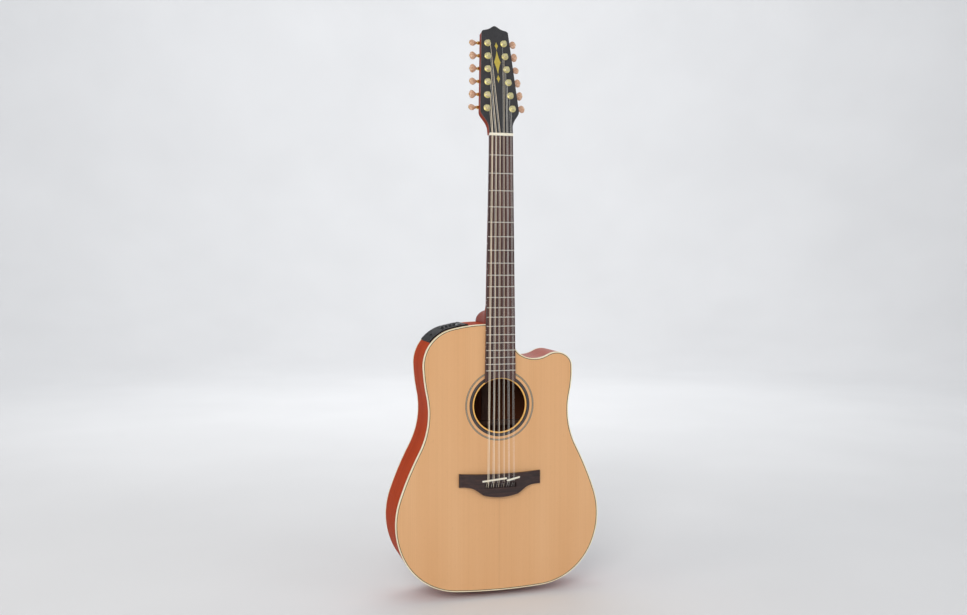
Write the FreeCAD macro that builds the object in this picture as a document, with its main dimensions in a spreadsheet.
"""Twelve-string acoustic-electric guitar with a rounded cutaway, as a parametric FreeCAD document.

Row frame, millimetres: +Z runs up the neck, -Y is the side the strings are on, +X is the treble side.
The origin is the mouth of the end-pin jack, the lowest point of the guitar, on its centre line.
Each sub-part is one labelled object of the document and is written to parts/LABEL.step.
"""

import FreeCAD
import Part
import math
import os

V = FreeCAD.Vector
Rotation = FreeCAD.Rotation
Placement = FreeCAD.Placement

doc = FreeCAD.newDocument("guitar")

# ---------------------------------------------------------------- driving dimensions

SIZES = {
    # body
    "tail_z": 14.0, "nut_z": 878.0, "top_y": -61.0, "heel_depth": 95.0, "tail_depth": 122.0,
    "back_arch_radius": 4000.0, "top_thick": 2.8, "back_thick": 2.6, "side_thick": 2.2,
    "binding_width": 1.8, "binding_height": 6.0, "lining_width": 5.6, "lining_height": 13.0,
    "hole_z": 370.0, "hole_radius": 50.8, "rosette_depth": 1.3,
    # neck
    "scale_length": 644.0, "nut_width": 45.2, "board_width_at_20": 59.0, "board_thick": 6.5,
    "board_radius": 400.0, "neck_depth_nut": 15.5, "neck_depth_body": 17.5, "nut_thick": 5.0,
    "head_tilt": 13.0, "head_core": 13.5, "veneer_thick": 1.5, "tenon_width": 26.0, "tenon_length": 14.0,
    "truss_rod_radius": 2.4, "truss_rod_length": 372.0,
    # bridge
    "bridge_thick": 9.0, "bridge_span": 160.0, "saddle_thick": 3.0, "saddle_height": 7.4,
    # tuners
    "tuner_pitch": 26.1, "first_tuner": 48.5, "post_radius": 3.1, "post_height": 9.5, "gear_teeth": 14.0,
    "worm_pitch": 2.6, "worm_radius": 2.5, "tooth_height": 0.5, "shaft_radius": 1.5, "key_depth": 4.6,
    "button_height": 16.0, "button_length": 12.5, "button_thick": 7.5,
    # electronics
    "jack_bore": 3.25, "jack_depth": 30.0, "panel_proud": 2.4, "slider_travel": 16.0,
}

dims = doc.addObject("Spreadsheet::Sheet", "dims")
for row, (alias, value) in enumerate(SIZES.items(), start=1):
    dims.set(f"A{row}", alias)
    dims.set(f"B{row}", str(value))
    dims.setAlias(f"B{row}", alias)
doc.recompute()


def size(alias):
    """A driving dimension, read back from the sheet."""
    return float(dims.get(alias))


TOP_Y = size("top_y")
NUT_Z = size("nut_z")
TAIL_Z = size("tail_z")
HOLE_Z = size("hole_z")
FAR = 200.0  # reach of a cutting box that only has to clear the body


# ---------------------------------------------------------------- helpers for document objects


def bind(obj, **expressions):
    """Binds properties of obj to expressions on the sheet, such as Length="top_thick"."""
    for prop, expression in expressions.items():
        words = []
        for word in expression.split(" "):
            words.append("dims." + word if word in SIZES else word)
        obj.setExpression(prop, " ".join(words))
    return obj


def box(name, corner, sizes, placement=None):
    """A Part::Box from its low corner and three sizes."""
    b = doc.addObject("Part::Box", name)
    b.Length, b.Width, b.Height = sizes
    b.Placement = (placement or Placement()).multiply(Placement(V(*corner), Rotation()))
    return b


def cylinder(name, base, axis, radius, height, placement=None):
    """A Part::Cylinder from the centre of its base, its direction, radius and height.
    Radius and height may be numbers or expressions on the sheet."""
    c = doc.addObject("Part::Cylinder", name)
    for prop, value in (("Radius", radius), ("Height", height)):
        if isinstance(value, str):
            bind(c, **{prop: value})
        else:
            setattr(c, prop, value)
    turn = Rotation(V(0, 0, 1), V(*axis))
    c.Placement = (placement or Placement()).multiply(Placement(V(*base), turn))
    return c


def _boolean(kind, name, base, tool):
    obj = doc.addObject(kind, name)
    obj.Base = base
    obj.Tool = tool
    return obj


def common(name, base, tool):
    return _boolean("Part::Common", name, base, tool)


def fuse(name, *shapes):
    obj = doc.addObject("Part::MultiFuse", name)
    obj.Shapes = list(shapes)
    return obj


def group(name, *members):
    """Several solids that share one node."""
    obj = doc.addObject("Part::Compound", name)
    obj.Links = list(members)
    return obj


def cut(name, base, *tools):
    tool = tools[0] if len(tools) == 1 else group(name + "_tools", *tools)
    return _boolean("Part::Cut", name, base, tool)


def feature(name, shape, placement=None):
    """A Part::Feature for a shape that no sketch or primitive describes."""
    obj = doc.addObject("Part::Feature", name)
    obj.Shape = shape
    if placement is not None:
        obj.Placement = placement
    return obj


def sketch_body(name, plane, loops, offset, length, reverse=False, placement=None):
    """A PartDesign::Body that pads closed loops of sketch geometry by a length on the sheet.
    offset moves the sketch along its own normal."""
    body = doc.addObject("PartDesign::Body", name)
    if placement is not None:
        body.Placement = placement
    sketch = body.newObject("Sketcher::SketchObject", name + "_sketch")
    origin = [f for f in body.Origin.OriginFeatures if f.Role == plane][0]
    sketch.AttachmentSupport = [(origin, "")]
    sketch.MapMode = "FlatFace"
    sketch.AttachmentOffset = Placement(V(0, 0, offset), Rotation())
    for loop in loops:
        for item in loop:
            sketch.addGeometry(item, False)
    pad = body.newObject("PartDesign::Pad", name + "_pad")
    pad.Profile = sketch
    if isinstance(length, str):
        bind(pad, Length=length)
    else:
        pad.Length = length
    pad.Reversed = reverse
    return body


def loft_body(name, plane, sections):
    """A PartDesign::Body lofted through closed loops, each given with its offset along the plane's normal."""
    body = doc.addObject("PartDesign::Body", name)
    origin = [f for f in body.Origin.OriginFeatures if f.Role == plane][0]
    sketches = []
    for number, (offset, loop) in enumerate(sections):
        sketch = body.newObject("Sketcher::SketchObject", f"{name}_section_{number}")
        sketch.AttachmentSupport = [(origin, "")]
        sketch.MapMode = "FlatFace"
        sketch.AttachmentOffset = Placement(V(0, 0, offset), Rotation())
        for item in loop:
            sketch.addGeometry(item, False)
        sketches.append(sketch)
    loft = body.newObject("PartDesign::AdditiveLoft", name + "_loft")
    loft.Profile = sketches[0]
    loft.Sections = sketches[1:]
    return body


# ---------------------------------------------------------------- sketch geometry


def line(p, q):
    return Part.LineSegment(V(*p, 0), V(*q, 0))


def arc(p, through, q):
    return Part.Arc(V(*p, 0), V(*through, 0), V(*q, 0))


def circle(centre, radius):
    return Part.Circle(V(*centre, 0), V(0, 0, 1), radius)


def polygon(points):
    """Closed loop of straight edges."""
    return [line(p, q) for p, q in zip(points, points[1:] + points[:1])]


def spline(points):
    curve = Part.BSplineCurve()
    curve.interpolate([V(*p, 0) for p in points])
    return curve


def half_oval(half_width, height, base=0.0, up=1.0, points=9):
    """Half an ellipse on a straight base line, as a neck or heel is carved."""
    run = []
    for k in range(points):
        a = math.pi * k / (points - 1)
        run.append((half_width * math.cos(a), base + up * height * math.sin(a)))
    return [spline(run), line(run[-1], run[0])]


def slot_loop(half_length, radius, centre=(0.0, 0.0), angle=0.0):
    """A stadium: two straight edges and two round ends."""
    c, s = math.cos(math.radians(angle)), math.sin(math.radians(angle))

    def at(x, y):
        return (centre[0] + x * c - y * s, centre[1] + x * s + y * c)

    return [
        line(at(-half_length, -radius), at(half_length, -radius)),
        arc(at(half_length, -radius), at(half_length + radius, 0), at(half_length, radius)),
        line(at(half_length, radius), at(-half_length, radius)),
        arc(at(-half_length, radius), at(-half_length - radius, 0), at(-half_length, -radius)),
    ]


# ---------------------------------------------------------------- body outline

# Tangent arcs from the middle of the tail round to the neck, as (radius, turn in degrees).
# A positive turn bulges outwards and a negative one is the waist or the bottom of the cutaway.
LOWER_BOUT = [(1081.0, 4.5), (123.4, 60.2), (147.0, 43.9), (607.0, 9.0), (157.0, -39.6)]
BASS_SHOULDER = [(350.0, 8.7), (71.0, 79.5), (299.0, 13.8)]
CUTAWAY_HORN = [(208.0, 14.6), (25.3, 46.8), (34.9, 70.2), (54.3, -62.0), (29.6, -57.6)]


def run_arcs(segments, inset):
    """Follows tangent arcs from the tail's middle, all moved inwards by inset.
    Returns three points per arc, then the last centre, in the plane's own (x, z)."""
    x, z, heading = 0.0, TAIL_Z + inset, 0.0
    arcs, centre = [], None
    for radius, turn in segments:
        sign = 1.0 if turn > 0 else -1.0
        r = radius - sign * inset
        t = math.radians(turn)
        centre = (x - sign * r * math.sin(heading), z + sign * r * math.cos(heading))

        def at(h, c=centre, k=sign * r):
            return (c[0] + k * math.sin(h), c[1] - k * math.cos(h))

        arcs.append((at(heading), at(heading + t / 2), at(heading + t)))
        heading += t
        x, z = arcs[-1][2]
    return arcs, centre


def outline(inset):
    """The closed body outline, moved inwards by inset (outwards if negative)."""
    treble, _ = run_arcs(LOWER_BOUT + CUTAWAY_HORN, inset)
    bass, _ = run_arcs(LOWER_BOUT + BASS_SHOULDER, inset)
    loop = [arc(*a) for a in treble]
    neck_corner = (treble[-1][2][0], bass[-1][2][1])
    loop.append(line(treble[-1][2], neck_corner))
    loop.append(line(neck_corner, (-bass[-1][2][0], bass[-1][2][1])))
    for a, b, c in reversed(bass):
        loop.append(arc((-c[0], c[1]), (-b[0], b[1]), (-a[0], a[1])))
    return loop


def body_slab(name, insets, low_y, length, reverse=True):
    """The outline, or a ring between two outlines, padded from low_y towards the back."""
    loops = [outline(i) for i in insets]
    return sketch_body(name, "XZ_Plane", loops, -low_y, length, reverse)


JOINT_Z = run_arcs(LOWER_BOUT + BASS_SHOULDER, 0.0)[0][-1][2][1]  # where neck meets body

# The back is a shallow cylinder whose axis leans, so that the body is deeper at the tail.
_heel_point = V(0, TOP_Y + size("heel_depth"), JOINT_Z)
_tail_point = V(0, TOP_Y + size("tail_depth"), TAIL_Z)
BACK_RUN = (_heel_point - _tail_point).normalize()
BACK_NORMAL = V(0, BACK_RUN.z, -BACK_RUN.y)


def arch(name, inset):
    """The solid in front of the arched back surface, moved forwards by inset."""
    c = doc.addObject("Part::Cylinder", name)
    c.Radius = size("back_arch_radius") - inset
    c.Height = size("nut_z")
    x_axis = BACK_NORMAL * -1
    turn = Rotation(x_axis, BACK_RUN.cross(x_axis), BACK_RUN, "XYZ")
    base = _tail_point - BACK_NORMAL * size("back_arch_radius") - BACK_RUN * FAR
    c.Placement = Placement(base, turn)
    return c


def back_y(z):
    """The y of the back's outer surface on the centre line."""
    run = (z - TAIL_Z) / (JOINT_Z - TAIL_Z)
    return TOP_Y + size("tail_depth") + run * (size("heel_depth") - size("tail_depth"))


# ---------------------------------------------------------------- soundbox

PARTS = []  # the objects that become nodes, in the order they are made


def part(obj, label):
    obj.Label = label
    PARTS.append(obj)
    return obj


binding_w = size("binding_width")
side_t = size("side_thick")
under_top = TOP_Y + size("top_thick")
DEEP = 150.0  # longer than the body is deep

arch_outer = arch("arch_outer", 0.0)
arch_inner = arch("arch_inner", size("back_thick"))
arch_binding = arch("arch_binding", size("binding_height"))
arch_lining = arch("arch_lining", size("back_thick") + size("lining_height"))

front_binding = body_slab("front_binding", (0.0, binding_w), TOP_Y, "binding_height")
back_binding_blank = body_slab("back_binding_blank", (0.0, binding_w), 0.0, DEEP)
back_binding = cut("back_binding", common("back_binding_deep", back_binding_blank, arch_outer), arch_binding)

rosette_bands = ((50.8, 54.4), (54.4, 59.4), (64.4, 67.6))  # radii of the inlaid rings
rings = []
for number, (inner, outer) in enumerate(rosette_bands):
    loops = [[circle((0, HOLE_Z), outer)], [circle((0, HOLE_Z), inner)]]
    rings.append(sketch_body(f"rosette_ring_{number}", "XZ_Plane", loops, -TOP_Y, "rosette_depth", True))
part(group("rosette_node", *rings), "rosette")

board_loops = [outline(binding_w), [circle((0, HOLE_Z), size("hole_radius"))]]
soundboard_blank = sketch_body("soundboard_blank", "XZ_Plane", board_loops, -TOP_Y, "top_thick", True)
part(cut("soundboard_node", soundboard_blank, group("rosette_channel", *rings)), "soundboard")

back_blank = body_slab("back_blank", (binding_w,), 0.0, DEEP)
part(cut("back_node", common("back_outer", back_blank, arch_outer), arch_inner), "back")

# neck block, tail block and linings
inner_slab = common("inner_slab", body_slab("inner_blank", (side_t,), under_top, DEEP), arch_inner)
neck_block_blank = common(
    "neck_block_blank", inner_slab, box("neck_block_box", (-36, TOP_Y, JOINT_Z - 60), (72, DEEP, 70))
)
tail_block_blank = common(
    "tail_block_blank", inner_slab, box("tail_block_box", (-42, TOP_Y, TAIL_Z - 5), (84, DEEP, 27))
)
lining_insets = (side_t, side_t + size("lining_width"))
front_lining_blank = body_slab("front_lining_blank", lining_insets, under_top, "lining_height")
back_lining_blank = common(
    "back_lining_blank", body_slab("back_lining_deep", lining_insets, 0.0, DEEP), arch_inner
)
block_room = group("block_room", neck_block_blank, tail_block_blank)
front_lining = cut("front_lining", front_lining_blank, block_room)
back_lining = cut("back_lining", cut("back_lining_strip", back_lining_blank, arch_lining), block_room)
part(group("linings_node", front_lining, back_lining), "kerfed_linings")

# neck tenon, which the block and the side are cut for
tenon_w, tenon_l = size("tenon_width"), size("tenon_length")
TENON_DEPTH = 62.0
TENON_GAP = 0.15
tenon = box("tenon", (-tenon_w / 2, under_top, JOINT_Z - side_t - tenon_l), (tenon_w, TENON_DEPTH, tenon_l + 12))
mortise = box(
    "mortise",
    (-tenon_w / 2 - TENON_GAP, under_top, JOINT_Z - side_t - tenon_l - TENON_GAP),
    (tenon_w + 2 * TENON_GAP, TENON_DEPTH + TENON_GAP, tenon_l + 12),
)
rod_y = TOP_Y + 6.4  # depth of the truss rod's axis below the soundboard plane
ROD_TOP_Z = NUT_Z - 12.0
rod_gap = 0.2
rod_bottom_z = ROD_TOP_Z - size("truss_rod_length")
rod_channel = cylinder(
    "rod_channel", (0, rod_y, rod_bottom_z - 14), (0, 0, 1),
    size("truss_rod_radius") + rod_gap, size("truss_rod_length") + 14.5,
)
nut_pocket = cylinder("nut_pocket", (0, rod_y, JOINT_Z - 61), (0, 0, 1), 3.5, 61 + rod_bottom_z - JOINT_Z + 0.5)
part(cut("neck_block_node", neck_block_blank, mortise, rod_channel, nut_pocket), "neck_block")
front_binding_cut = cut("front_binding_cut", front_binding, mortise, rod_channel)
part(group("binding_node", front_binding_cut, back_binding), "binding")

JACK_BARREL = 5.6
jack_room = cylinder("jack_room", (0, 0, TAIL_Z - 1), (0, 0, 1), JACK_BARREL + 0.1, 40)
part(cut("tail_block_node", tail_block_blank, jack_room), "tail_block")

# ---------------------------------------------------------------- preamp place on the bass shoulder

# The shoulder's tightest arc sets the module's own frame: t towards the neck, n outwards.
_, _shoulder = run_arcs(LOWER_BOUT + BASS_SHOULDER[:2], 0.0)
_, _upper = run_arcs(LOWER_BOUT + BASS_SHOULDER, 0.0)
SHOULDER = V(-_shoulder[0], 0, _shoulder[1])
SHOULDER_RADIUS = BASS_SHOULDER[1][0]
UPPER = V(-_upper[0], 0, _upper[1])
UPPER_RADIUS, UPPER_TURN = BASS_SHOULDER[2]
PANEL_ANGLE = 108.0  # direction of the module's middle, from +X in the XZ plane
PANEL_Y = (TOP_Y + 7.5, TOP_Y + 84.0)
CASE_Y = (TOP_Y + 18.0, TOP_Y + 76.0)
CASE_HALF = 34.0
PANEL_HALF = 40.0
CASE_DEPTH = 40.0


def panel_frame(angle):
    """Frame on the side's outer surface: local x along +Y, local y away from the neck, local z outwards."""
    a = math.radians(angle)
    outward = V(math.cos(a), 0, math.sin(a))
    tangent = V(-math.sin(a), 0, math.cos(a))
    on_upper = angle < 90 + UPPER_TURN
    centre, radius = (UPPER, UPPER_RADIUS) if on_upper else (SHOULDER, SHOULDER_RADIUS)
    return Placement(centre + outward * radius, Rotation(V(0, 1, 0), tangent, outward, "XYZ"))


PANEL = panel_frame(PANEL_ANGLE)


def panel_box(name, y_range, t_range, n_range):
    """A box in the module's own frame, with t counted towards the neck."""
    corner = (y_range[0], -t_range[1], n_range[0])
    sizes = (y_range[1] - y_range[0], t_range[1] - t_range[0], n_range[1] - n_range[0])
    return box(name, corner, sizes, PANEL)


side_window = panel_box("side_window", CASE_Y, (-CASE_HALF, CASE_HALF), (-CASE_DEPTH, 30))

# ---------------------------------------------------------------- sides

rim_blank = common("rim_blank", body_slab("rim_ring", (0.0, side_t), under_top, DEEP), arch_inner)
rim_bound = cut("rim_bound", rim_blank, group("binding_rabbets", front_binding, back_binding))
rim = cut("rim", rim_bound, mortise, rod_channel, jack_room)
bass_half = box("bass_half", (-300, -FAR, -50), (300, 2 * FAR, 900))
treble_half = box("treble_half", (0, -FAR, -50), (300, 2 * FAR, 900))
part(cut("side_bass_node", common("side_bass_blank", rim, bass_half), side_window), "side_bass")
part(common("side_treble_node", rim, treble_half), "side_treble")

# ---------------------------------------------------------------- braces


def brace_profile(length, height, tip):
    """Side view of a brace: tapered ends and a scallop either side of its middle."""
    half = length / 2
    return [
        line((-half, 0), (half, 0)),
        line((half, 0), (half, tip)),
        spline([(half, tip), (half * 0.82, height * 0.42), (half * 0.55, height * 0.55), (half * 0.2, height)]),
        line((half * 0.2, height), (-half * 0.2, height)),
        spline([(-half * 0.2, height), (-half * 0.55, height * 0.55), (-half * 0.82, height * 0.42), (-half, tip)]),
        line((-half, tip), (-half, 0)),
    ]


def top_brace(name, centre, angle, length, width, height, tip=3.0):
    """A brace glued under the soundboard, its middle at centre (x, z), turned by angle from +X."""
    a = math.radians(angle)
    run, up = V(math.cos(a), 0, math.sin(a)), V(0, 1, 0)
    base = V(centre[0], under_top, centre[1]) - run.cross(up) * (width / 2)
    where = Placement(base, Rotation(run, up, run.cross(up), "XYZ"))
    return sketch_body(name, "XY_Plane", [brace_profile(length, height, tip)], 0.0, width, False, where)


X_CROSS = (0.0, HOLE_Z - 84.0)
X_ANGLE = 41.0
X_WIDTH, X_HEIGHT = 8.0, 15.0


def x_leg(name, side):
    """One long brace of the X. Its middle lies below the crossing, down its own leg."""
    a = math.radians(X_ANGLE)
    down = 48.0
    centre = (X_CROSS[0] + side * down * math.cos(a), X_CROSS[1] - down * math.sin(a))
    return top_brace(name, centre, -side * X_ANGLE, 400.0, X_WIDTH, X_HEIGHT)


x_bass = x_leg("x_leg_bass", -1.0)
x_treble = x_leg("x_leg_treble", 1.0)
half_front = box("lap_front", (-20, under_top, X_CROSS[1] - 20), (40, X_HEIGHT / 2, 40))
half_back = box("lap_back", (-20, under_top + X_HEIGHT / 2, X_CROSS[1] - 20), (40, X_HEIGHT, 40))
x_overlap = common("x_overlap", x_bass, x_treble)
x_bass_lapped = cut("x_bass_lapped", x_bass, common("x_lap_front", x_overlap, half_front))
x_treble_lapped = cut("x_treble_lapped", x_treble, common("x_lap_back", x_overlap, half_back))

small_braces = [
    top_brace("upper_brace", (-1.0, HOLE_Z + 66.0), 0.0, 270.0, 12.0, 15.0, 5.0),
    top_brace("hole_brace_bass", (-63.0, HOLE_Z + 12.0), 90.0, 84.0, 6.0, 6.0, 2.0),
    top_brace("hole_brace_treble", (63.0, HOLE_Z + 12.0), 90.0, 84.0, 6.0, 6.0, 2.0),
    top_brace("tone_bar_upper", (-8.0, 162.0), -24.0, 176.0, 7.0, 11.0, 3.0),
    top_brace("tone_bar_lower", (-26.0, 108.0), -24.0, 196.0, 7.0, 10.0, 3.0),
    top_brace("finger_bass_upper", (-125.0, 246.0), 40.0, 72.0, 6.0, 7.0, 2.0),
    top_brace("finger_treble_upper", (125.0, 246.0), -40.0, 72.0, 6.0, 7.0, 2.0),
    top_brace("finger_bass_lower", (-156.0, 204.0), 40.0, 60.0, 6.0, 7.0, 2.0),
    top_brace("finger_treble_lower", (156.0, 204.0), -40.0, 60.0, 6.0, 7.0, 2.0),
]
part(group("top_braces_node", x_bass_lapped, x_treble_lapped, *small_braces), "top_braces")

plate_loop = polygon([(-39.4, 246), (39.4, 246), (77.2, 213), (-77.2, 213)])
bridge_plate = sketch_body("bridge_plate_blank", "XZ_Plane", [plate_loop], -under_top, 2.5, True)

inside_linings = body_slab("inside_linings", (side_t + size("lining_width") + 0.3,), 0.0, DEEP)
inside_back = common("inside_back", inside_linings, arch_inner)
ladder = []
LADDER_Z = (NUT_Z - 432.0, NUT_Z - 556.0, NUT_Z - 662.0, NUT_Z - 770.0)
for number, z in enumerate(LADDER_Z):
    height, width = (15.0, 8.0) if number < 2 else (11.0, 14.0)
    low = back_y(z) - size("back_thick") - height - 4.0
    blank = box(f"ladder_blank_{number}", (-FAR, low, z - width / 2), (2 * FAR, 60, width))
    ladder.append(common(f"ladder_brace_{number}", blank, inside_back))
STRIP_THICK = 2.2
arch_strip = arch("arch_strip", size("back_thick") + STRIP_THICK)
strip_box = box("strip_box", (-8, 0, TAIL_Z + 26), (16, DEEP, JOINT_Z - 62 - TAIL_Z - 26))
strip_blank = cut("strip_blank", common("strip_deep", strip_box, inside_back), arch_strip)
ladder.append(cut("centre_strip", strip_blank, group("ladder_room", *ladder)))
part(group("back_braces_node", *ladder), "back_braces")

# ---------------------------------------------------------------- fretboard, frets and nut


def fret_z(number):
    return NUT_Z - size("scale_length") * (1 - 2 ** (-number / 12))


def board_width(z):
    share = (NUT_Z - z) / (NUT_Z - fret_z(20))
    return size("nut_width") + share * (size("board_width_at_20") - size("nut_width"))


BOARD_Y = TOP_Y - size("board_thick")  # crest of the fretboard's face
BOARD_END_RADIUS = 52.8  # the end follows the soundhole
board_r = size("board_radius")

end_half = board_width(HOLE_Z + 42) / 2
end_z = HOLE_Z + math.sqrt(BOARD_END_RADIUS**2 - end_half**2)
nut_half = size("nut_width") / 2
board_loop = [
    line((nut_half, NUT_Z), (-nut_half, NUT_Z)),
    line((-nut_half, NUT_Z), (-end_half, end_z)),
    arc((-end_half, end_z), (0, HOLE_Z + BOARD_END_RADIUS), (end_half, end_z)),
    line((end_half, end_z), (nut_half, NUT_Z)),
]
board_blank = sketch_body("board_blank", "XZ_Plane", [board_loop], -TOP_Y, "board_thick")
board_camber = cylinder("board_camber", (0, BOARD_Y + board_r, 380), (0, 0, 1), "board_radius", 520)
board_cambered = common("board_cambered", board_blank, board_camber)

FRET_CROWN, FRET_HALF, TANG_HALF, TANG_DEPTH = 1.1, 1.15, 0.28, 1.7


def fret(number):
    """Crowned fret wire with its tang, bent to the board's camber."""
    z = fret_z(number)
    crown = Part.Arc(
        V(0, BOARD_Y, z - FRET_HALF), V(0, BOARD_Y - FRET_CROWN, z), V(0, BOARD_Y, z + FRET_HALF)
    ).toShape()
    corners = [
        V(0, BOARD_Y, z + FRET_HALF), V(0, BOARD_Y, z + TANG_HALF), V(0, BOARD_Y + TANG_DEPTH, z + TANG_HALF),
        V(0, BOARD_Y + TANG_DEPTH, z - TANG_HALF), V(0, BOARD_Y, z - TANG_HALF), V(0, BOARD_Y, z - FRET_HALF),
    ]
    edges = [Part.LineSegment(a, b).toShape() for a, b in zip(corners, corners[1:])]
    face = Part.Face(Part.Wire([crown, *edges]))
    half_angle = math.degrees(math.asin((board_width(z) / 2 - 0.15) / board_r))
    axis_point = V(0, BOARD_Y + board_r, 0)
    face.rotate(axis_point, V(0, 0, 1), -half_angle)
    return face.revolve(axis_point, V(0, 0, 1), 2 * half_angle)


fret_wires = feature("frets_node", Part.makeCompound([fret(n) for n in range(1, 21)]))
part(fret_wires, "frets")
part(cut("fretboard_node", board_cambered, fret_wires), "fretboard")

# ---------------------------------------------------------------- strings

# Courses from bass to treble. Each pair is (octave or unison string, main string) radii in mm.
COURSE_RADII = ((0.34, 0.60), (0.25, 0.48), (0.18, 0.38), (0.14, 0.30), (0.20, 0.20), (0.14, 0.14))
NUT_SPREAD, SADDLE_SPREAD, HOLE_SPREAD = 18.4, 25.5, 25.5
NUT_PAIR, SADDLE_PAIR, HOLE_PAIR = 0.95, 1.15, 2.15
STRING_AT_NUT, STRING_AT_SADDLE = 8.1, 11.9  # underside of a string above the soundboard plane
HEAD_ORIGIN = V(0, TOP_Y - 5.0, NUT_Z + size("nut_thick"))
HEAD = Placement(HEAD_ORIGIN, Rotation(V(1, 0, 0), 90 - size("head_tilt")))
POST_INSETS = (25.0, 22.5, 20.3, 18.4, 16.9, 15.9)  # posts from the centre line, from the nut up
WINDING_HEIGHT = 5.1
WINDING_GAP = 0.06
WINDING_TURNS = 3

# The long saddle carries the four lower courses and the short one the two treble courses.
MAIN_SADDLE = ((-35.0, NUT_Z - 650.6), (10.2, NUT_Z - 646.2))
TREBLE_SADDLE = ((13.2, NUT_Z - 650.6), (36.4, NUT_Z - 645.6))


def saddle_z(x):
    (x0, z0), (x1, z1) = MAIN_SADDLE if x < 11 else TREBLE_SADDLE
    return z0 + (x - x0) / (x1 - x0) * (z1 - z0)


def camber_drop(x):
    return x * x / (2 * board_r)


class String:
    """Where one string runs, from its ball end to its post."""

    def __init__(self, number):
        course, member = divmod(number, 2)
        self.number = number
        self.radius = COURSE_RADII[course][member]
        step = course / 2.5 - 1  # -1 on the bass side to +1 on the treble side
        lean = -1 if member == 0 else 1
        self.nut_x = step * NUT_SPREAD + lean * NUT_PAIR
        self.saddle_x = step * SADDLE_SPREAD + lean * SADDLE_PAIR
        self.hole_x = step * HOLE_SPREAD + lean * HOLE_PAIR
        self.side = -1 if course < 3 else 1
        # the string nearest the edge takes the post nearest the nut
        self.post = number if course < 3 else 11 - number

    def points(self):
        nut = V(self.nut_x, TOP_Y - (STRING_AT_NUT - camber_drop(self.nut_x)) - self.radius, NUT_Z + 2.0)
        rise = STRING_AT_SADDLE - camber_drop(self.saddle_x)
        saddle = V(self.saddle_x, TOP_Y - rise - self.radius + 0.12, saddle_z(self.saddle_x))
        slot = V(self.hole_x, TOP_Y - HOLE_HEIGHT, SLOT_Z[0] + 0.5)
        ball = V(self.hole_x, TOP_Y - HOLE_HEIGHT, BALL_SEAT_Z - 0.4)
        return ball, slot, saddle, nut, self.leaving_post()

    def post_centre(self):
        return self.side * POST_INSETS[self.post], size("first_tuner") + self.post * size("tuner_pitch")

    def winding_radius(self):
        return size("post_radius") + WINDING_GAP + self.radius

    def leaving_post(self):
        """The point where the straight string meets the inner side of its winding."""
        cx, cv = self.post_centre()
        start = (self.nut_x, -3.0)
        dx, dv = start[0] - cx, start[1] - cv
        gap = math.hypot(dx, dv)
        spread = math.acos(self.winding_radius() / gap)
        base = math.atan2(dv, dx)
        sides = [base + spread, base - spread]
        a = min(sides, key=lambda t: self.side * math.cos(t))
        u, v = cx + self.winding_radius() * math.cos(a), cv + self.winding_radius() * math.sin(a)
        return HEAD.multVec(V(u, v, WINDING_HEIGHT))

    def solid(self):
        """Straight runs with a ball at each bend, the turns round the post, and the ball end."""
        stops = self.points()
        pieces = []
        for a, b in zip(stops, stops[1:]):
            run = b - a
            pieces.append(Part.makeCylinder(self.radius, run.Length, a, run))
        for corner in stops[1:-1]:
            pieces.append(Part.makeSphere(self.radius, corner))
        cx, cv = self.post_centre()
        tall = 2 * self.radius * WINDING_TURNS
        inner = size("post_radius") + WINDING_GAP
        turns = Part.makeCylinder(inner + 2 * self.radius + 0.06, tall, V(0, 0, -tall / 2))
        turns = turns.cut(Part.makeCylinder(inner, tall + 2, V(0, 0, -tall / 2 - 1)))
        turns.Placement = HEAD.multiply(Placement(V(cx, cv, WINDING_HEIGHT), Rotation()))
        ball = Part.makeCylinder(1.8, 3.0, stops[0] - V(0, 0, 2.0), V(0, 0, 1))
        return pieces[0].multiFuse([*pieces[1:], turns, ball])


SLOT_Z = (NUT_Z - 664.2, NUT_Z - 655.5)
HOLE_HEIGHT = 3.6
BALL_SEAT_Z = NUT_Z - 674.5

STRINGS = [String(n) for n in range(12)]
part(feature("strings_node", Part.makeCompound([s.solid() for s in STRINGS])), "strings")


def string_room(name, extra, first, last):
    """Clearance for the strings between two of their stops."""
    rooms = []
    for s in STRINGS:
        stops = s.points()
        radius = s.radius + extra
        room = Part.makeCylinder(radius, (stops[first + 1] - stops[first]).Length, stops[first],
                                 stops[first + 1] - stops[first])
        for a, b in zip(stops[first + 1:last], stops[first + 2:last + 1]):
            room = room.fuse(Part.makeSphere(radius * 1.04, a)).fuse(Part.makeCylinder(radius, (b - a).Length, a, b - a))
        rooms.append(room)
    return feature(name, Part.makeCompound(rooms))


NUT_TALL = 8.7  # from the soundboard plane to the crown of the nut
nut_t = size("nut_thick")
nut_blank = box("nut_blank", (-nut_half, TOP_Y - NUT_TALL, NUT_Z), (2 * nut_half, NUT_TALL, nut_t))
nut_camber = cylinder("nut_camber", (0, TOP_Y - NUT_TALL + board_r, NUT_Z - 1), (0, 0, 1), "board_radius", 8)
nut_face = common("nut_face", nut_blank, nut_camber)
nut_slots = string_room("nut_slots", 0.05, 2, 4)
part(cut("nut_node", nut_face, nut_slots), "nut")

# ---------------------------------------------------------------- neck


def head_placed(x, y, z=0.0):
    return HEAD.multiply(Placement(V(x, y, z), Rotation()))


HEAD_TOP = 214.6


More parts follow.
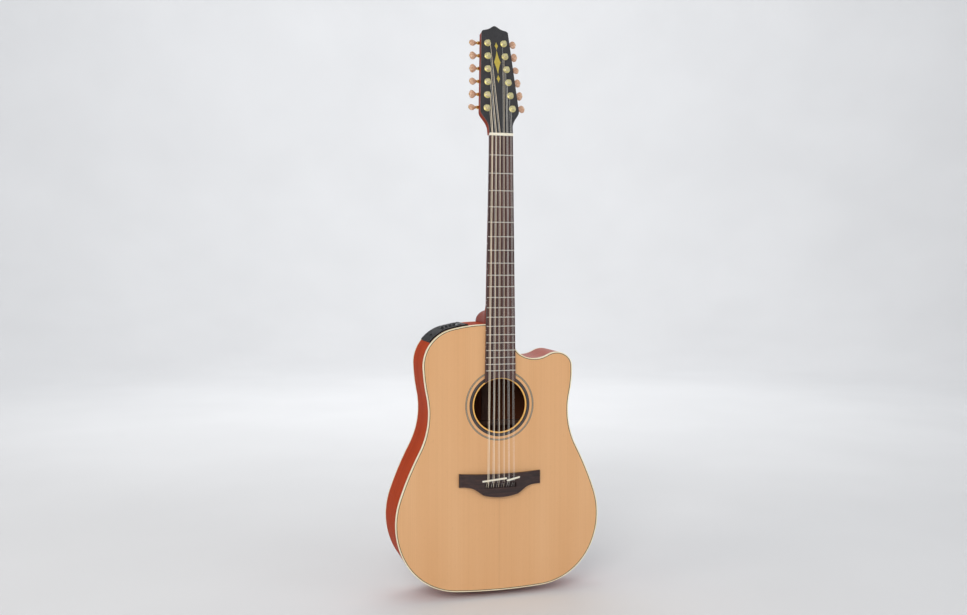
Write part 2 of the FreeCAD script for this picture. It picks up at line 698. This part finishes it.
def head_loop():
    """Headstock outline in its own plane: flared shoulders, straight cheeks and a low ogee crest."""
    right = [
        line((22.8, 0), (23.2, 13)),
        spline([(23.2, 13), (25.4, 20.5), (30.6, 29.5), (36.2, 38), (37.6, 45.5)]),
        line((37.6, 45.5), (26.3, 199)),
        arc((26.3, 199), (25.3, 203.1), (21.8, 205.4)),
        spline([(21.8, 205.4), (16.5, 206.6), (11.0, 208.6), (6.6, 211.4), (3.0, 213.8)]),
        arc((3.0, 213.8), (0, HEAD_TOP), (-3.0, 213.8)),
    ]
    left = [
        spline([(-3.0, 213.8), (-6.6, 211.4), (-11.0, 208.6), (-16.5, 206.6), (-21.8, 205.4)]),
        arc((-21.8, 205.4), (-25.3, 203.1), (-26.3, 199)),
        line((-26.3, 199), (-37.6, 45.5)),
        spline([(-37.6, 45.5), (-36.2, 38), (-30.6, 29.5), (-25.4, 20.5), (-23.2, 13)]),
        line((-23.2, 13), (-22.8, 0)),
        line((-22.8, 0), (22.8, 0)),
    ]
    return right + left


TUNER_HOLE = 4.6
posts = []
for side in (-1, 1):
    for station, inset in enumerate(POST_INSETS):
        posts.append((side, station, side * inset, size("first_tuner") + station * size("tuner_pitch")))

veneer_t, core_t = size("veneer_thick"), size("head_core")
veneer_blank = sketch_body("veneer_blank", "XY_Plane", [head_loop()], -veneer_t, "veneer_thick", False, HEAD)
core = sketch_body("head_core", "XY_Plane", [head_loop()], -veneer_t - core_t, "head_core", False, HEAD)
tuner_holes = group(
    "tuner_holes",
    *[
        cylinder(f"tuner_hole_{n}", (x, v, -20), (0, 0, 1), TUNER_HOLE, 22, HEAD)
        for n, (_, _, x, v) in enumerate(posts)
    ],
)
part(cut("veneer_node", veneer_blank, tuner_holes, nut_blank), "headstock_veneer")

shaft_sections = []
SHAFT_TOP = NUT_Z + 28.0
for z in (JOINT_Z, (JOINT_Z + NUT_Z) / 2, NUT_Z, SHAFT_TOP):
    share = min(1.0, (NUT_Z - z) / (NUT_Z - JOINT_Z)) if z < NUT_Z else 0.0
    depth = size("neck_depth_nut") + share * (size("neck_depth_body") - size("neck_depth_nut"))
    shaft_sections.append((z, half_oval(board_width(min(z, NUT_Z)) / 2, depth, TOP_Y)))
shaft = loft_body("neck_shaft", "XY_Plane", shaft_sections)

# Heel sections run from the soundboard plane to the back: (depth, half width, height above the joint).
HEEL = ((8.0, 27.6, 96.0), (17.0, 27.0, 70.0), (28.0, 26.0, 46.0), (42.0, 25.0, 33.0), (64.0, 24.0, 26.0))
HEEL_END = (size("heel_depth") - 4.5, 23.0, 22.0)
heel_sections = [(-TOP_Y - depth, half_oval(w, h, JOINT_Z)) for depth, w, h in (*HEEL, HEEL_END)]
heel = loft_body("neck_heel", "XZ_Plane", heel_sections)

head_front = box("head_front", (-60, 0, -veneer_t), (120, 80, 40), HEAD)
shaft_trimmed = cut("shaft_trimmed", shaft, head_front)
neck_blank = fuse("neck_blank", shaft_trimmed, heel, core, tenon)
part(cut("neck_node", neck_blank, rod_channel, tuner_holes, nut_blank), "neck")

cap_loop = half_oval(HEEL_END[1], HEEL_END[2], JOINT_Z)
heel_cap = sketch_body("heel_cap_node", "XZ_Plane", [cap_loop], -TOP_Y - HEEL_END[0], 2.0, True)

rod = cylinder("rod", (0, rod_y, rod_bottom_z), (0, 0, 1), "truss_rod_radius", "truss_rod_length")
rod_hex = doc.addObject("Part::Prism", "rod_hex")
rod_hex.Polygon, rod_hex.Circumradius, rod_hex.Height = 6, 3.2, 10.0
rod_hex.Placement = Placement(V(0, rod_y, rod_bottom_z - 10), Rotation())
part(group("truss_rod_node", rod, rod_hex), "truss_rod")

# ---------------------------------------------------------------- bridge

bridge_t = size("bridge_thick")
half_span = size("bridge_span") / 2
WING_TOP, WING_BOTTOM, BELLY = NUT_Z - 635.8, NUT_Z - 661.0, NUT_Z - 682.3
bridge_loop = [
    arc((half_span, WING_TOP), (0, WING_TOP - 3.2), (-half_span, WING_TOP)),
    line((-half_span, WING_TOP), (-half_span, WING_BOTTOM)),
    spline([
        (-half_span, WING_BOTTOM), (-66, WING_BOTTOM - 0.6), (-53, WING_BOTTOM - 3.6), (-43.5, WING_BOTTOM - 9.6),
        (-34.5, WING_BOTTOM - 16.2),
    ]),
    arc((-34.5, WING_BOTTOM - 16.2), (0, BELLY), (34.5, WING_BOTTOM - 16.2)),
    spline([
        (34.5, WING_BOTTOM - 16.2), (43.5, WING_BOTTOM - 9.6), (53, WING_BOTTOM - 3.6), (66, WING_BOTTOM - 0.6),
        (half_span, WING_BOTTOM),
    ]),
    line((half_span, WING_BOTTOM), (half_span, WING_TOP)),
]
bridge_blank = sketch_body("bridge_blank", "XZ_Plane", [bridge_loop], -TOP_Y, "bridge_thick")
WING_THICK = 4.6
wing_loop = [
    line((-half_span - 1, TOP_Y), (half_span + 1, TOP_Y)),
    line((half_span + 1, TOP_Y), (half_span + 1, TOP_Y - WING_THICK)),
    spline([
        (half_span + 1, TOP_Y - WING_THICK), (64, TOP_Y - WING_THICK - 0.5), (52, TOP_Y - bridge_t + 1.2),
        (40, TOP_Y - bridge_t),
    ]),
    line((40, TOP_Y - bridge_t), (-40, TOP_Y - bridge_t)),
    spline([
        (-40, TOP_Y - bridge_t), (-52, TOP_Y - bridge_t + 1.2), (-64, TOP_Y - WING_THICK - 0.5),
        (-half_span - 1, TOP_Y - WING_THICK),
    ]),
    line((-half_span - 1, TOP_Y - WING_THICK), (-half_span - 1, TOP_Y)),
]
wing_profile = sketch_body("wing_profile", "XY_Plane", [wing_loop], BELLY - 5, 60)
bridge_shaped = common("bridge_shaped", bridge_blank, wing_profile)

SADDLE_FLOOR = TOP_Y - 4.6
SADDLE_GAP = 0.05


def saddle_loop(ends, extra):
    (x0, z0), (x1, z1) = ends
    half = math.hypot(x1 - x0, z1 - z0) / 2
    angle = math.degrees(math.atan2(z1 - z0, x1 - x0))
    return slot_loop(half, size("saddle_thick") / 2 + extra, ((x0 + x1) / 2, (z0 + z1) / 2), angle)


crown_y = TOP_Y - STRING_AT_SADDLE
saddle_camber = cylinder("saddle_camber", (0, crown_y + board_r, 200), (0, 0, 1), "board_radius", 60)
saddles, saddle_slots = [], []
for label, ends in (("main", MAIN_SADDLE), ("treble", TREBLE_SADDLE)):
    blank = sketch_body(f"saddle_{label}", "XZ_Plane", [saddle_loop(ends, 0)], -SADDLE_FLOOR, "saddle_height")
    saddles.append(common(f"saddle_{label}_crowned", blank, saddle_camber))
    room = [saddle_loop(ends, SADDLE_GAP)]
    saddle_slots.append(sketch_body(f"saddle_{label}_slot", "XZ_Plane", room, -SADDLE_FLOOR, 20))
saddle_notches = string_room("saddle_notches", 0.12, 1, 3)
part(cut("saddles_node", group("saddle_pair", *saddles), saddle_notches), "saddles")

string_well = box("string_well", (-31, TOP_Y - 12, SLOT_Z[0]), (62, 12 - 1.6, SLOT_Z[1] - SLOT_Z[0]))
string_holes, ball_seats = [], []
for s in STRINGS:
    start = (s.hole_x, TOP_Y - HOLE_HEIGHT, BALL_SEAT_Z - 1)
    string_holes.append(cylinder(f"string_hole_{s.number}", start, (0, 0, 1), s.radius + 0.3, 14))
    seat = (s.hole_x, TOP_Y - HOLE_HEIGHT, BELLY - 6)
    ball_seats.append(cylinder(f"ball_seat_{s.number}", seat, (0, 0, 1), 1.95, BALL_SEAT_Z + 1.2 - BELLY + 6))
bridge_ramps = string_room("bridge_ramps", 0.2, 1, 3)
bridge_cut = cut("bridge_cut", cut("bridge_ramped", bridge_shaped, bridge_ramps), *saddle_slots, string_well)
part(cut("bridge_node", bridge_cut, *string_holes, *ball_seats), "bridge")
part(bridge_plate, "bridge_plate")
part(heel_cap, "heel_cap")

# ---------------------------------------------------------------- tuning machines

# One machine is made in its own frame and repeated. Its origin is where the post's axis meets the
# headstock's face. Local x points out along the key's shaft, y towards the tip, z along the post.
TEETH = int(size("gear_teeth"))
WORM_PITCH = size("worm_pitch")
WORM_R = size("worm_radius")
WHEEL_R = TEETH * WORM_PITCH / (2 * math.pi)
SHAFT_OFFSET = WHEEL_R + WORM_R
TOOTH = size("tooth_height")
CLEAR = 0.15
HEAD_BACK = -(veneer_t + core_t)
AXLE_Z = HEAD_BACK - size("key_depth")
WHEEL_THICK = 3.2
WORM_LENGTH = 8.6


def wheel_loop(turn):
    """Gear outline: straight-flanked teeth, narrower at the tip."""
    pts = []
    tip, root = WHEEL_R + TOOTH, WHEEL_R - TOOTH - CLEAR
    for k in range(TEETH):
        middle = 2 * math.pi * (k + 0.5) / TEETH + math.pi / 2 + turn
        for radius, half in ((root, 0.72), (tip, 0.30)):
            pts.append((radius, middle - half / radius))
        for radius, half in ((tip, 0.30), (root, 0.72)):
            pts.append((radius, middle + half / radius))
    points = [V(r * math.cos(a), r * math.sin(a), 0) for r, a in pts]
    return Part.makePolygon(points + points[:1])


def wheel_shape():
    """Worm wheel whose teeth lean by the worm's lead."""
    lean = WORM_PITCH / (2 * math.pi * WORM_R) / WHEEL_R * WHEEL_THICK / 2
    low, high = wheel_loop(-lean), wheel_loop(lean)
    low.translate(V(0, 0, AXLE_Z - WHEEL_THICK / 2))
    high.translate(V(0, 0, AXLE_Z + WHEEL_THICK / 2))
    return Part.makeLoft([low, high], True, True)


def worm_shape():
    """Shaft with one right-hand thread. A ridge faces the wheel at x = 0."""
    root, tip = WORM_R - TOOTH - CLEAR, WORM_R + TOOTH
    turns = int(WORM_LENGTH / WORM_PITCH)
    helix = Part.makeHelix(WORM_PITCH, turns * WORM_PITCH, root)
    flank = [(root - 0.1, -0.72), (tip, -0.30), (tip, 0.30), (root - 0.1, 0.72)]
    points = [V(r, 0, s) for r, s in flank]
    thread = Part.Wire(helix.Edges).makePipeShell([Part.makePolygon(points + points[:1])], True, True)
    thread.translate(V(0, 0, -turns * WORM_PITCH / 2))
    # a half turn puts the ridge that starts on local x opposite it, facing the wheel
    thread.rotate(V(), V(0, 0, 1), 180 * (turns % 2))
    core_bar = Part.makeCylinder(root, WORM_LENGTH, V(0, 0, -WORM_LENGTH / 2))
    bar = Part.makeCylinder(size("shaft_radius"), SHAFT_END + 5.4, V(0, 0, -5.4))
    collar = Part.makeCylinder(2.3, 2.0, V(0, 0, SHAFT_END - 2.6))
    worm = core_bar.multiFuse([thread, bar, collar])
    # local z of the worm becomes machine x, and its local x faces the wheel, machine -y
    worm.Placement = Placement(V(0, SHAFT_OFFSET, AXLE_Z), Rotation(V(0, -1, 0), V(0, 0, -1), V(1, 0, 0), "XYZ"))
    return worm


SHAFT_END = 17.5  # how far the key's shaft reaches from the post's axis
BUTTON_START = SHAFT_END - 0.6


def button_shape(twist):
    """Pearloid button: an oval with a narrower neck, drilled for the shaft."""
    length, tall, thick = size("button_length"), size("button_height"), size("button_thick")
    sections = []
    for share, across, deep in (
        (0.0, 0.34, 0.62), (0.22, 0.66, 0.82), (0.55, 1.0, 1.0), (0.82, 0.92, 0.94), (1.0, 0.56, 0.58)
    ):
        a, b = tall / 2 * across, thick / 2 * deep
        oval = Part.Ellipse(V(0, 0, 0), a, b).toShape()
        wire = Part.Wire([oval])
        wire.translate(V(0, 0, share * length))
        sections.append(wire)
    blank = Part.makeLoft(sections, True, False)
    hole = Part.makeCylinder(size("shaft_radius"), 0.61, V(0, 0, -0.01))
    blank = blank.cut(hole)
    # the button's long side lies across the shaft; twist turns it round the shaft
    turn = Rotation(V(0, 1, 0), V(0, 0, 1), V(1, 0, 0), "XYZ").multiply(Rotation(V(0, 0, 1), twist))
    blank.Placement = Placement(V(BUTTON_START, SHAFT_OFFSET, AXLE_Z), turn)
    return blank


def button_screw_shape():
    """Small domed screw that holds the button on its shaft."""
    start = BUTTON_START + size("button_length")
    return Part.makeCylinder(1.9, 0.9, V(start, SHAFT_OFFSET, AXLE_Z), V(1, 0, 0))


def post_shape():
    """String post: waisted head with a cross hole, plain barrel, and a seat for the wheel."""
    r, tall = size("post_radius"), size("post_height")
    waist = r - 0.5
    low = AXLE_Z - WHEEL_THICK / 2 - 0.9
    seat = 2.2
    profile = [
        (0, low), (seat, low), (seat, AXLE_Z + WHEEL_THICK / 2 + 0.1), (r, AXLE_Z + WHEEL_THICK / 2 + 0.1),
        (r, tall - 2.0), (waist, tall - 1.4), (waist, tall - 0.9), (r, tall - 0.5), (r - 0.4, tall), (0, tall),
    ]
    wire = Part.makePolygon([V(x, 0, z) for x, z in profile + profile[:1]])
    body = Part.Face(wire).revolve(V(), V(0, 0, 1), 360)
    hole = Part.makeCylinder(0.9, 4 * r, V(-2 * r, 0, tall - 2.9), V(1, 0, 0))
    return body.cut(hole)


def housing_shape():
    """Sealed die-cast gear housing, hollow for the wheel and the worm."""
    floor_z = AXLE_Z - WHEEL_THICK / 2 - 2.4
    tall = HEAD_BACK - floor_z
    round_end = Part.makeCylinder(WHEEL_R + 2.0, tall, V(0, 0, floor_z))
    block = Part.makeBox(15.4, SHAFT_OFFSET + WORM_R + 2.2, tall, V(-7.4, 0, floor_z))
    boss = Part.makeCylinder(3.4, SHAFT_END - 3.4 - 6.0, V(6.0, SHAFT_OFFSET, AXLE_Z), V(1, 0, 0))
    ear = Part.makeCylinder(2.6, EAR_THICK, V(*SCREW_AT, HEAD_BACK - EAR_THICK))
    web = Part.makeBox(math.hypot(*SCREW_AT), 5.2, EAR_THICK, V(0, -2.6, HEAD_BACK - EAR_THICK))
    web.rotate(V(), V(0, 0, 1), math.degrees(math.atan2(SCREW_AT[1], SCREW_AT[0])))
    shell = round_end.multiFuse([block, boss, ear, web]).removeSplitter()
    wheel_room = Part.makeCylinder(WHEEL_R + TOOTH + 0.4, WHEEL_THICK + 0.6, V(0, 0, AXLE_Z - WHEEL_THICK / 2 - 0.3))
    worm_room = Part.makeCylinder(WORM_R + TOOTH + 0.4, 11.6, V(-5.8, SHAFT_OFFSET, AXLE_Z), V(1, 0, 0))
    shaft_room = Part.makeCylinder(size("shaft_radius") + 0.05, 30, V(-5.0, SHAFT_OFFSET, AXLE_Z), V(1, 0, 0))
    post_room = Part.makeCylinder(size("post_radius") + 0.08, 30, V(0, 0, AXLE_Z))
    seat_room = Part.makeCylinder(2.3, 6, V(0, 0, AXLE_Z - WHEEL_THICK / 2 - 1.0))
    screw_room = Part.makeCylinder(SCREW_R, 30, V(*SCREW_AT, HEAD_BACK - 15))
    return shell.cut(worm_room.multiFuse([wheel_room, shaft_room, post_room, seat_room])).cut(screw_room)


SCREW_R = 1.2
SCREW_AT = (-7.0, -7.6)
EAR_THICK = 3.0


def bushing_shape():
    """Threaded bushing from the front: a flanged sleeve round the post."""
    r = size("post_radius") + 0.1
    sleeve = Part.makeCylinder(TUNER_HOLE - 0.1, 12.0, V(0, 0, -12.0))
    flange = Part.makeCylinder(5.6, 2.0, V(0, 0, 0.9))
    rim_edges = [e for e in flange.Edges if abs(e.BoundBox.ZMin - 2.9) < 1e-6 and e.BoundBox.ZLength < 1e-6]
    flange = flange.makeFillet(0.7, rim_edges)
    neck_ring = Part.makeCylinder(TUNER_HOLE - 0.1, 1.0, V(0, 0, 0))
    bore = Part.makeCylinder(r, 30, V(0, 0, -15))
    return sleeve.multiFuse([neck_ring, flange]).cut(bore).removeSplitter()


def washer_shape():
    return Part.makeCylinder(6.6, 0.85, V(0, 0, 0.02)).cut(Part.makeCylinder(TUNER_HOLE, 3, V(0, 0, -1)))


def screw_shape():
    """Wood screw through the housing's ear into the back of the headstock."""
    ear_back = HEAD_BACK - EAR_THICK
    head = Part.makeCylinder(2.1, 1.2, V(*SCREW_AT, ear_back - 1.2))
    shank = Part.makeCylinder(SCREW_R, EAR_THICK + 6.0, V(*SCREW_AT, ear_back))
    return head.fuse(shank)


worm_master, wheel_master = worm_shape(), wheel_shape()
wheel_master = wheel_master.cut(Part.makeCylinder(2.2, 20, V(0, 0, AXLE_Z - 10)))
post_master, housing_master = post_shape(), housing_shape()


def machine_copy(shape, side, x, v):
    """The master shape at one station; the bass side is its mirror image."""
    made = shape.copy() if side > 0 else shape.mirror(V(), V(1, 0, 0))
    return placed(made, head_placed(x, v))


def placed(shape, placement):
    made = shape.copy()
    made.Placement = placement.multiply(made.Placement)
    return made


housings, bushings, washers, screws = [], [], [], []
for side, station, x, v in posts:
    tag = f"{'bass' if side < 0 else 'treble'}_{station + 1}"
    twist = (station * 37 + (17 if side > 0 else 0)) % 60 - 30  # buttons rest at uneven angles
    key = [worm_master, button_shape(twist), button_screw_shape()]
    key_solids = Part.makeCompound([machine_copy(s, side, x, v) for s in key])
    part(feature(f"key_{tag}", key_solids), f"tuner_key_{tag}")
    post_solids = Part.makeCompound([machine_copy(s, side, x, v) for s in (post_master, wheel_master)])
    part(feature(f"post_{tag}", post_solids), f"tuner_post_{tag}")
    housings.append(machine_copy(housing_master, side, x, v))
    bushings += [machine_copy(bushing_shape(), side, x, v), machine_copy(washer_shape(), side, x, v)]
    screws.append(machine_copy(screw_shape(), side, x, v))
part(feature("housings_node", Part.makeCompound(housings)), "tuner_housings")
part(feature("bushings_node", Part.makeCompound(bushings)), "tuner_bushings")
part(feature("screws_node", Part.makeCompound(screws)), "tuner_screws")

# the neck takes the housing screws
neck_with_holes = [p for p in PARTS if p.Label == "neck"][0]
PARTS.remove(neck_with_holes)
neck_with_holes.Label = "neck_unscrewed"
screw_pilots = feature("screw_pilots", Part.makeCompound(screws))
part(cut("neck_drilled", neck_with_holes, screw_pilots), "neck")

# ---------------------------------------------------------------- end-pin jack and strap button

bore_r, bore_depth = size("jack_bore"), size("jack_depth")
NECK_R, HEAD_R = 5.2, 7.4
jack_profile = [
    (bore_r, 0.0), (HEAD_R - 0.8, 0.0), (HEAD_R, 0.8), (HEAD_R, 2.6), (NECK_R, 4.2), (NECK_R, 10.6), (HEAD_R, 12.4),
    (HEAD_R, TAIL_Z - 0.02), (JACK_BARREL, TAIL_Z - 0.02), (JACK_BARREL, TAIL_Z + 30.0), (0.0, TAIL_Z + 30.0),
    (0.0, bore_depth), (bore_r, bore_depth),
]
jack = doc.addObject("PartDesign::Body", "jack")
jack_sketch = jack.newObject("Sketcher::SketchObject", "jack_sketch")
jack_sketch.AttachmentSupport = [([f for f in jack.Origin.OriginFeatures if f.Role == "XZ_Plane"][0], "")]
jack_sketch.MapMode = "FlatFace"
for item in polygon(jack_profile):
    jack_sketch.addGeometry(item, False)
jack_turn = jack.newObject("PartDesign::Revolution", "jack_turn")
jack_turn.Profile = jack_sketch
jack_turn.ReferenceAxis = (jack_sketch, ["V_Axis"])
jack_turn.Angle = 360.0
jack_nut = cut(
    "jack_nut",
    cylinder("jack_nut_blank", (0, 0, TAIL_Z + 22.02), (0, 0, 1), 8.5, 3.0),
    cylinder("jack_nut_bore", (0, 0, TAIL_Z + 20), (0, 0, 1), JACK_BARREL, 10),
)
part(group("jack_node", jack, jack_nut), "end_pin_jack")

BUTTON_Z = JOINT_Z + 10.5
cap_y = TOP_Y + HEEL_END[0] + 2.0
strap_profile = [
    (0, 0), (5.6, 0), (5.6, 1.4), (3.6, 3.0), (3.6, 8.0), (6.4, 10.4), (6.4, 11.8), (5.6, 12.6), (2.2, 12.6),
    (2.2, 11.4), (0, 11.4),
]
strap_wire = Part.makePolygon([V(x, 0, z) for x, z in strap_profile + strap_profile[:1]])
strap_shape = Part.Face(strap_wire).revolve(V(), V(0, 0, 1), 360)
back_facing = Rotation(V(1, 0, 0), -90)
part(feature("strap_node", strap_shape, Placement(V(0, cap_y, BUTTON_Z), back_facing)), "strap_button")

# ---------------------------------------------------------------- preamp

proud = size("panel_proud")
PANEL_SKIN = 0.6
shell_ring = body_slab("shell_ring", (-proud, 0.0), PANEL_Y[0], PANEL_Y[1] - PANEL_Y[0])
panel_reach = panel_box("panel_reach", PANEL_Y, (-PANEL_HALF, PANEL_HALF), (-60, 30))
flange = common("preamp_flange", shell_ring, panel_reach)

WALL = 2.0
FIT = 0.25
case_y = (CASE_Y[0] + FIT, CASE_Y[1] - FIT)
case_t = (-CASE_HALF + FIT, CASE_HALF - FIT)
case_outer = panel_box("case_outer", case_y, case_t, (-CASE_DEPTH + FIT, 30))
inner_y = (case_y[0] + WALL, case_y[1] - WALL)
inner_t = (case_t[0] + WALL, case_t[1] - WALL)
case_inner = panel_box("case_inner", inner_y, inner_t, (-CASE_DEPTH + FIT + WALL, 30))
prism_outer = body_slab("prism_outer", (0.0,), TOP_Y, DEEP)
prism_inner = body_slab("prism_inner", (WALL,), TOP_Y, DEEP)
case_block = common("case_block", case_outer, prism_outer)
case_hollow = common("case_hollow", case_inner, prism_inner)
case_shell = cut("case_shell", case_block, case_hollow)
case_body = fuse("case_body", case_shell, flange)

# battery door: a curved panel that fills an opening of the flange, hinged on its edge nearest the sliders
DOOR_T = (-30.0, -8.0)
DOOR_Y = (CASE_Y[0] + 4.0, CASE_Y[1] - 4.0)
DOOR_GAP = 0.35
BARREL_R = 1.5
door_hole = panel_box("door_hole", DOOR_Y, (DOOR_T[0], DOOR_T[1] + 2 * BARREL_R + DOOR_GAP), (-9, 30))
door_y = (DOOR_Y[0] + DOOR_GAP, DOOR_Y[1] - DOOR_GAP)
door_reach = panel_box("door_reach", door_y, (DOOR_T[0] + DOOR_GAP, DOOR_T[1] + 1.0), (-30, 30))
door_ring = body_slab("door_ring", (-proud, WALL - 0.4), PANEL_Y[0], PANEL_Y[1] - PANEL_Y[0])
door_panel = common("door_panel", door_ring, door_reach)


def surface_frame(t):
    """The frame on the side's surface at distance t along the module, towards the neck."""
    neckwards = PANEL.Rotation.multVec(V(0, -1, 0))
    angle = PANEL_ANGLE - math.degrees(math.asin(t / SHOULDER_RADIUS))
    if angle < 90 + UPPER_TURN:
        along = (UPPER - SHOULDER).dot(neckwards)
        angle = PANEL_ANGLE - math.degrees(math.asin((t - along) / UPPER_RADIUS))
    return panel_frame(angle)


HINGE = surface_frame(DOOR_T[1] + BARREL_R).multVec(V(0, 0, 1.2))
barrel_start = (HINGE.x, door_y[0], HINGE.z)
barrel = cylinder("door_barrel", barrel_start, (0, 1, 0), BARREL_R, door_y[1] - door_y[0])
catch_frame = surface_frame(DOOR_T[0] + 4.0)
catch = box("door_catch", (-7.0 + (door_y[0] + door_y[1]) / 2, -1.6, proud - 0.8), (14, 3.2, 1.9), catch_frame)
part(fuse("door_node", door_panel, barrel, catch), "battery_door")

# sliders, buttons and window
SLIDER_T = (-1.0, 6.5, 14.0, 21.5)
SLIDER_Y = (CASE_Y[0] + CASE_Y[1]) / 2
travel = size("slider_travel")
SLOT_HALF_W = 0.9
slider_slots, slider_parts = [], []
for number, t in enumerate(SLIDER_T, start=1):
    frame = surface_frame(t)
    slot = box(f"slider_slot_{number}", (SLIDER_Y - travel / 2 - 3, -SLOT_HALF_W, -8), (travel + 6, 1.8, 20), frame)
    slider_slots.append(slot)
    cap = box(f"slider_cap_{number}", (SLIDER_Y - 3.5, -2.3, proud + 0.3), (7, 4.6, 3.4), frame)
    stem = box(f"slider_stem_{number}", (SLIDER_Y - 2.0, -SLOT_HALF_W + 0.25, -5.0), (4, 1.3, 9.0), frame)
    slider_parts.append(fuse(f"slider_{number}_node", cap, stem))

BUTTON_T = 28.6
BUTTON_Y = SLIDER_Y - 16.0
PUSH_R = 3.2
PUSH = surface_frame(BUTTON_T)
push_hole = cylinder("push_hole", (BUTTON_Y, 0, -9), (0, 0, 1), PUSH_R + 0.2, 30, PUSH)
push_cap = cylinder("push_cap", (BUTTON_Y, 0, -1.0), (0, 0, 1), PUSH_R, proud + 2.2, PUSH)
push_flange = cylinder("push_flange", (BUTTON_Y, 0, -5.2), (0, 0, 1), 2.2, 5.0, PUSH)
window = box("window_recess", (SLIDER_Y - 8, -3.2, proud - 1.2), (24, 6.4, 10), PUSH)

part(cut("case_node", case_body, door_hole, *slider_slots, push_hole, window), "preamp_case")
for number, slider in enumerate(slider_parts, start=1):
    part(slider, f"preamp_slider_{number}")
part(fuse("push_node", push_cap, push_flange), "preamp_button")

battery_y = (door_y[0] + 0.6, door_y[0] + 0.6 + 47.5)
battery = panel_box("battery_node", battery_y, (-30.4, -4.4), (-CASE_DEPTH + FIT + WALL + 0.4, -CASE_DEPTH + 20))
part(battery, "battery")

# ---------------------------------------------------------------- pickup under the saddles


def pickup_strip(ends):
    (x0, z0), (x1, z1) = ends
    inner = ((x0 + 1, z0), (x1 - 1, z1))
    half = math.hypot(inner[1][0] - inner[0][0], inner[1][1] - inner[0][1]) / 2
    angle = math.degrees(math.atan2(z1 - z0, x1 - x0))
    return slot_loop(half, 1.2, ((x0 + x1) / 2, (z0 + z1) / 2), angle)


strips = []
for number, ends in enumerate((MAIN_SADDLE, TREBLE_SADDLE)):
    loops = [pickup_strip(ends)]
    strips.append(sketch_body(f"pickup_strip_{number}", "XZ_Plane", loops, -SADDLE_FLOOR, 1.4, True))
part(group("pickup_node", *strips), "pickup")
bridge_with_strips = [p for p in PARTS if p.Label == "bridge"][0]
PARTS.remove(bridge_with_strips)
bridge_with_strips.Label = "bridge_unstripped"
part(cut("bridge_final", bridge_with_strips, group("pickup_room", *strips)), "bridge")

# ---------------------------------------------------------------- checks and export

doc.recompute()
bad = [o.Label for o in doc.Objects if "Invalid" in o.State or "Error" in o.State]
if bad:
    raise SystemExit(f"failed objects: {bad}")
os.makedirs("parts", exist_ok=True)
for stale in os.listdir("parts"):
    os.remove(os.path.join("parts", stale))
for obj in PARTS:
    shape = obj.Shape
    if shape.isNull() or not shape.isValid() or not shape.Solids:
        raise SystemExit(f"{obj.Label} has no valid solid")
    Part.makeCompound(shape.Solids).exportStep(os.path.join("parts", obj.Label + ".step"))
    print(f"{obj.Label:24s} solids {len(shape.Solids):3d}  volume {shape.Volume / 1000:9.3f} cm3")
print(len(PARTS), "nodes")
